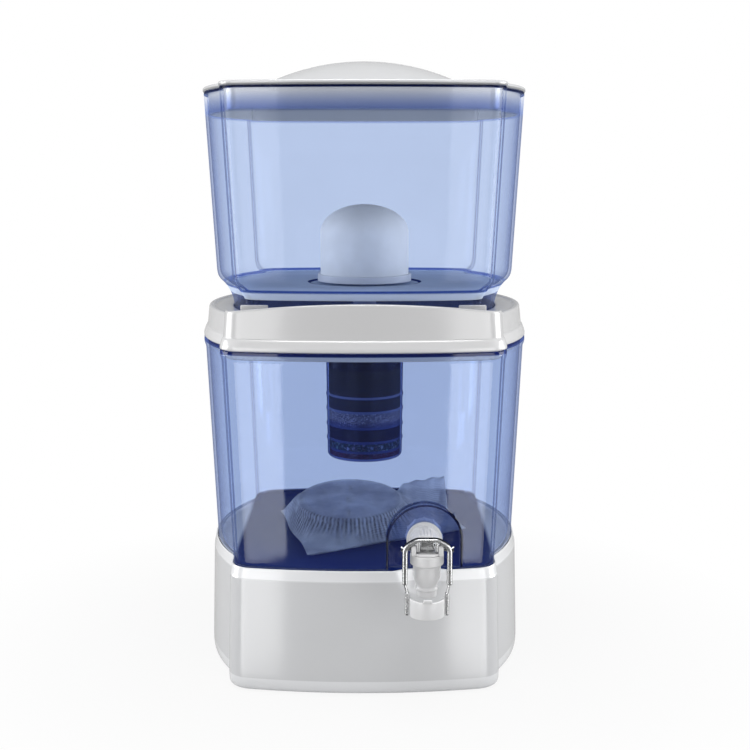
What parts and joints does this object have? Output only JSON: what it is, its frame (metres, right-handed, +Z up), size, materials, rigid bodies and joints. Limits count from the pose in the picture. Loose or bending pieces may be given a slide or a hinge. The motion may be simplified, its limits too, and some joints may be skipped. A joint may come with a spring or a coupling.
{
  "type": "gravity water filter",
  "caption": "Countertop gravity water filter: two stacked clear blue tanks with a lift-off lid, a ceramic dome, a layered cartridge, a mineral case and a push-lever tap over a hollow stand.",
  "frame": {"origin": "middle of the stand's footprint, on the ground", "axes": "+Z up, the tap on the -Y side and +X to the right seen from the front"},
  "size_m": [0.308, 0.3642, 0.5631],
  "materials": {
    "stand_white": "glossy",
    "foot_rubber": "matte",
    "blue_clear": "glossy",
    "cover_grey": "satin",
    "lid_white": "glossy",
    "ceramic": "matte",
    "filter_white": "satin",
    "silicone": "matte",
    "dark_rubber": "matte",
    "cartridge_clear": "glossy",
    "carbon": "granular",
    "fine_carbon": "granular",
    "zeolite": "granular",
    "ceramic_balls": "granular",
    "mineral_sand": "granular",
    "felt": "matte",
    "case_blue": "glossy",
    "stones": "matte",
    "bag_mesh": "matte",
    "tap_white": "glossy",
    "chrome": "polished",
    "steel": "satin"
  },
  "bodies": {
    "stand": {"base_stand": "stand_white", "stand_feet": "foot_rubber"},
    "lower": {"lower_tank": "blue_clear", "mineral_case_body": "case_blue", "mineral_case_lid": "case_blue", "mineral_stones": "stones", "mineral_bag": "bag_mesh", "tap_body": "tap_white", "tap_outer_washer": "silicone", "tap_inner_washer": "silicone", "tap_lock_nut": "tap_white", "tap_bonnet": "tap_white", "bonnet_seal": "dark_rubber", "valve_spring": "steel", "lever_pins": "steel"},
    "lever": {"tap_lever": "chrome", "push_pad": "tap_white"},
    "stem": {"valve_stem": "chrome", "valve_plug": "silicone", "lift_pin": "steel"},
    "cover": {"middle_cover": "cover_grey"},
    "upper": {"upper_tank": "blue_clear", "ceramic_dome": "ceramic", "dome_base": "filter_white", "dome_gasket": "silicone", "dome_stem": "filter_white", "stem_washer": "silicone", "wing_nut": "filter_white"},
    "cartridge": {"cartridge_cap": "filter_white", "cartridge_seal": "silicone", "cartridge_body": "cartridge_clear", "carbon_bed": "carbon", "fine_carbon_bed": "fine_carbon", "zeolite_bed": "zeolite", "silver_carbon_bed": "fine_carbon", "ceramic_ball_bed": "ceramic_balls", "mineral_sand_bed": "mineral_sand", "felt_pads": "felt", "outlet_grid": "filter_white"},
    "lid_body": {"lid": "lid_white"}
  },
  "joints": [
    {"name": "tank_lift", "type": "slide", "parent": "stand", "child": "lower", "axis": [0, 0, 1], "range_m": [0, 0.15]},
    {"name": "cover_lift", "type": "slide", "parent": "lower", "child": "cover", "axis": [0, 0, 1], "range_m": [0, 0.15]},
    {"name": "upper_lift", "type": "slide", "parent": "cover", "child": "upper", "axis": [0, 0, 1], "range_m": [0, 0.2]},
    {"name": "lid_lift", "type": "slide", "parent": "upper", "child": "lid_body", "axis": [0, 0, 1], "range_m": [0, 0.12]},
    {"name": "cartridge_turn", "type": "hinge", "parent": "upper", "child": "cartridge", "pos_m": [0, 0, 0.33], "axis": [0, 0, 1], "range_deg": [0, 360]},
    {"name": "lever_push", "type": "hinge", "parent": "lower", "child": "lever", "pos_m": [0.054, -0.19506, 0.15], "axis": [1, 0, 0], "range_deg": [0, 16], "stiffness_Nm_per_rad": 0.3},
    {"name": "stem_lift", "type": "slide", "parent": "lower", "child": "stem", "axis": [0, 0, 1], "range_m": [0, 0.00196], "deforming": ["valve_spring"]}
  ],
  "couplings": [
    {"joint": "stem_lift", "follows": "lever_push", "m_per_rad": 0.007}
  ]
}
